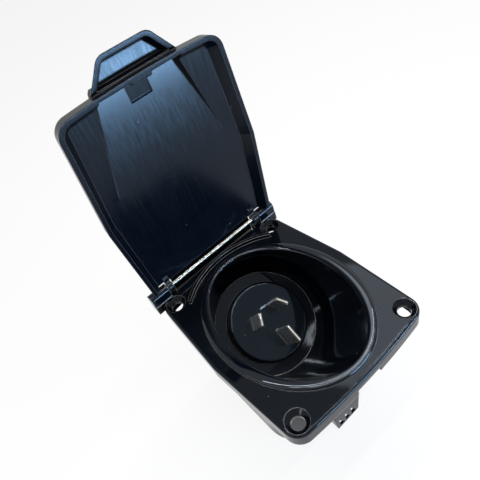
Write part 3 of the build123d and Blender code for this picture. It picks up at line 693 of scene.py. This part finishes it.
@dataclass
class CoverScrews:
    """Four pan-head screws in the sides of the rear cover, with a cross recess and a rolled thread."""

    node: str = "cover_screws"
    finish: WorkedMetal = WorkedMetal(
        "cover_screw_steel", bright=(0.62, 0.62, 0.61), dull=(0.36, 0.36, 0.36), rough=(0.18, 0.34))
    head_radius: float = 2.7 * MM
    head_height: float = 1.8 * MM
    crown: float = 0.55 * MM
    edge_radius: float = 0.35 * MM
    arm_reach: float = 1.55 * MM
    arm_half: float = 0.45 * MM
    arm_soft: float = 0.16 * MM
    arm_taper: float = 3.0
    recess_depth: float = 1.0 * MM
    shank_radius: float = 1.2 * MM
    thread_rise: float = 0.24 * MM
    thread_pitch: float = 1.1 * MM
    shank_length: float = 5.1 * MM
    tip_share: float = 0.3
    tip_steepness: float = 8.0
    first_ring: float = 0.02
    sides: int = 64
    top_rings: int = 24
    edge_rings: int = 6
    shank_rings: int = 40

    def arm(self, along: np.ndarray, across: np.ndarray) -> np.ndarray:
        """Share of the recess's depth in one arm, with a short slope aside and a longer one at its end.

        Args:
            along: Places along the arm.
            across: Places across the arm.

        Returns:
            Shares from 0 outside the arm to 1 on its floor.
        """
        length = (self.arm_reach - np.abs(along)) / (self.arm_taper * self.arm_soft)
        width = (self.arm_half - np.abs(across)) / self.arm_soft
        return np.clip(length, 0.0, 1.0) * np.clip(width, 0.0, 1.0)

    def rings(self) -> Tuple[np.ndarray, np.ndarray]:
        """Rings of one screw, from the crown over the rounded rim and the seat to the thread's tip.

        The crown falls by the square of the radius, and the cross recess, the deeper of two arms, is
        taken off it. The thread is a sine of the turns along the shank less the angle, so that its
        crest runs as a helix, and it dies away at the tip.

        Returns:
            Radii and heights of the rings above the seat.
        """
        angle = even_angles(self.sides)
        around = np.ones_like(angle)
        flat = self.head_radius - self.edge_radius
        out = np.linspace(self.first_ring, 1.0, self.top_rings)[:, None] * flat * around
        u, v = out * np.cos(angle), out * np.sin(angle)
        shoulder = self.head_height - self.crown
        dome = shoulder + self.crown * (1.0 - (out / flat) ** 2)
        top = dome - self.recess_depth * np.maximum(self.arm(u, v), self.arm(v, u))
        bend = np.linspace(0.0, QUARTER_TURN, self.edge_rings)[1:, None] * around
        rim = flat + self.edge_radius * np.sin(bend)
        rim_height = shoulder - self.edge_radius * (1.0 - np.cos(bend))
        seat = np.array([self.head_radius, self.shank_radius])[:, None] * around
        down = np.linspace(0.0, 1.0, self.shank_rings)[1:, None] * around
        turns = down * self.shank_length / self.thread_pitch
        crest = self.thread_rise * np.sin(TURN * turns - angle)
        fade = np.clip(self.tip_steepness * (1.0 - down), 0.0, 1.0)
        shank = (self.shank_radius + crest) * fade + self.tip_share * self.shank_radius * (1.0 - fade)
        radius = np.concatenate([out, rim, seat, shank])
        height = np.concatenate([top, rim_height, np.zeros_like(seat), -down * self.shank_length])
        return radius, height

    def build(self) -> None:
        """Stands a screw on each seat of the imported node, and takes the node's place."""
        low, high = (np.array(c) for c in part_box(self.node))
        skin, faces = ring_skin(*self.rings())
        points: List[np.ndarray] = []
        cells: List[List[int]] = []
        for side in (-1.0, 1.0):
            # The skin's axis points out of the cover's side, and its x lies along the frame's y.
            axes = np.array([(0.0, 1.0, 0.0), (0.0, 0.0, side), (side, 0.0, 0.0)])
            for y in (low[1] + self.head_radius, high[1] - self.head_radius):
                seat = np.array([side * (high[0] - self.head_height), y, (low[2] + high[2]) / 2.0])
                cells += [[i + len(points) * len(skin) for i in face] for face in faces]
                points.append(skin @ axes + seat)
        piece = add_piece("cover_screw_set", np.concatenate(points), cells, self.finish.build(),
                          Body.BASE)
        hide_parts(self.node)


@dataclass
class Seal:
    """Rubber seal behind the bowl's floor."""

    rubber: SoftRubber = SoftRubber("seal_rubber")

    def build(self) -> None:
        """Dresses the seal."""
        dress(["carrier_seal"], self.rubber.build())


@dataclass(frozen=True)
class Lamp:
    """Soft lamp with a rectangular face, by default one of the long tubes overhead."""

    name: str
    place: Point
    aim: Point = (0.12, 0.0, 0.0)
    size: Range = (0.84, 0.014)
    power: float = 2.1
    tint: Colour = (1.0, 0.98, 0.95)

    def hang(self) -> None:
        """Hangs the lamp, turned to the point that it lights and unseen by the camera."""
        data = bpy.data.lights.new(self.name, "AREA")
        data.shape = "RECTANGLE"
        data.size, data.size_y = self.size
        data.energy = self.power
        data.color = self.tint
        holder = bpy.data.objects.new(self.name, data)
        holder.location = self.place
        beam = Vector(self.aim) - Vector(self.place)
        holder.rotation_euler = beam.to_track_quat("-Z", "Y").to_euler()
        holder.visible_camera = False
        bpy.context.scene.collection.objects.link(holder)


@dataclass
class Studio:
    """Pale floor, soft lamps, white surround and the photograph's camera."""

    floor_drop: float = 0.6 * MM
    floor_half: float = 4.0
    floor_tone: Colour = (0.82, 0.82, 0.82)
    floor_pale: Colour = (0.8446, 0.8446, 0.8446)
    floor_rough: float = 0.9
    floor_white: float = 0.88
    speckle_scale: float = 30.0
    speckle_detail: float = 3.0
    ambient: float = 0.15
    surround: float = 1.0
    camera_place: Point = (-0.05822, -0.10141, 0.16771)
    camera_right: Point = (0.73526, -0.62855, -0.25361)
    camera_up: Point = (0.60027, 0.43012, 0.67429)
    camera_back: Point = (-0.31474, -0.64802, 0.69355)
    sensor: float = 36.0
    lens: float = 33.623
    shift: Range = (0.00951, -0.00497)
    clip_near: float = 0.005
    lamps: Tuple[Lamp, ...] = (
        Lamp("rear_tube", (0.12, 0.14, 0.64)),
        Lamp("mid_tube", (0.12, -0.05, 0.64)),
        Lamp("fore_tube", (0.12, -0.24, 0.62)),
        Lamp("right_box", (0.32, 0.22, 0.64), (0.02, -0.02, 0.0), (0.24, 0.24), 0.6, (0.95, 0.98, 1.0)),
        Lamp("side_strip", (-0.62, -0.05, 0.22), (0.0, 0.0, 0.02), (0.40, 0.05), 0.4, (1.0, 0.90, 0.78)),
        Lamp("front_strip", (0.15, -0.42, 0.010), (0.0, 0.05, 0.10), (0.30, 0.04), 3.4, (0.40, 0.68, 1.0)),
    )

    def build_floor(self, low: float) -> None:
        """Lays the floor under the part: pale, white to the camera, and still taking the shadow.

        Args:
            low: Height of the part's lowest point.
        """
        half = self.floor_half
        corners = np.array([(-half, -half), (half, -half), (half, half), (-half, half)])
        height = np.full((len(corners), 1), low - self.floor_drop)
        mesh = bpy.data.meshes.new("floor")
        mesh.from_pydata(np.hstack([corners, height]).tolist(), [], [(0, 1, 2, 3)])
        floor = bpy.data.objects.new("floor", mesh)
        bpy.context.scene.collection.objects.link(floor)
        sheet = NodeSheet("pale_floor")
        speckle = sheet.noise(self.speckle_scale, self.speckle_detail)
        sheet.feed("Base Color", sheet.mix(speckle, self.floor_tone, self.floor_pale))
        sheet.set("Roughness", self.floor_rough)
        glow = sheet.tree.nodes.new("ShaderNodeEmission")
        blend = sheet.tree.nodes.new("ShaderNodeMixShader")
        seen = self.seen_directly(sheet.tree)
        sheet.link(sheet.combine("MULTIPLY", seen, self.floor_white), blend.inputs[0])
        sheet.link(sheet.shader.outputs[0], blend.inputs[1])
        sheet.link(glow.outputs[0], blend.inputs[2])
        sheet.link(blend.outputs[0], sheet.output.inputs["Surface"])
        mesh.materials.append(sheet.material)
        floor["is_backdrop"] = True

    @staticmethod
    def seen_directly(tree: bpy.types.NodeTree) -> Socket:
        """Rays from the camera, a mirror or a clear body.

        Args:
            tree: Node tree that asks.

        Returns:
            1 for such a ray and 0 for the others.
        """
        path = tree.nodes.new("ShaderNodeLightPath")
        total = path.outputs["Is Camera Ray"]
        for name in ("Is Glossy Ray", "Is Transmission Ray"):
            node = tree.nodes.new("ShaderNodeMath")
            node.operation = "MAXIMUM"
            tree.links.new(total, node.inputs[0])
            tree.links.new(path.outputs[name], node.inputs[1])
            total = node.outputs[0]
        return total

    def build_world(self) -> None:
        """Pale surround for the camera and for mirrors, and a lower even light for the rest."""
        world = bpy.data.worlds.new("white_surround")
        bpy.context.scene.world = world
        world.use_nodes = True
        tree = world.node_tree
        tree.nodes.clear()
        strength = tree.nodes.new("ShaderNodeMapRange")
        tree.links.new(self.seen_directly(tree), strength.inputs["Value"])
        strength.inputs["To Min"].default_value = self.ambient
        strength.inputs["To Max"].default_value = self.surround
        sky = tree.nodes.new("ShaderNodeBackground")
        tree.links.new(strength.outputs[0], sky.inputs["Strength"])
        out = tree.nodes.new("ShaderNodeOutputWorld")
        tree.links.new(sky.outputs[0], out.inputs["Surface"])

    def build_camera(self) -> None:
        """Stands the camera where the photograph was taken from."""
        data = bpy.data.cameras.new("photo_camera")
        data.sensor_width = self.sensor
        data.lens = self.lens
        data.shift_x, data.shift_y = self.shift
        data.clip_start = self.clip_near
        camera = bpy.data.objects.new("photo_camera", data)
        turn = Matrix((self.camera_right, self.camera_up, self.camera_back)).transposed()
        camera.matrix_world = Matrix.Translation(self.camera_place) @ turn.to_4x4()
        bpy.context.scene.collection.objects.link(camera)
        bpy.context.scene.camera = camera

    def build(self, low: float) -> None:
        """Sets up the whole studio.

        Args:
            low: Height of the part's lowest point.
        """
        self.build_floor(low)
        self.build_world()
        for lamp in self.lamps:
            lamp.hang()
        self.build_camera()
        bpy.context.scene.view_settings.view_transform = "Standard"
        LOG.info("studio ready")


def main() -> None:
    """Builds every sub-assembly in order, then the studio."""
    logging.basicConfig(level=logging.INFO, format="%(name)s: %(message)s")
    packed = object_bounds()
    assemblies: List[Assembly] = [Shell(), MouthBead(), CurtainHem(), Metalwork(), CoverScrews(), Seal()]
    for assembly in assemblies:
        assembly.build()
        LOG.info("built %s", type(assembly).__name__)
    Studio().build(packed[0].z)


if __name__ == "__main__":
    main()
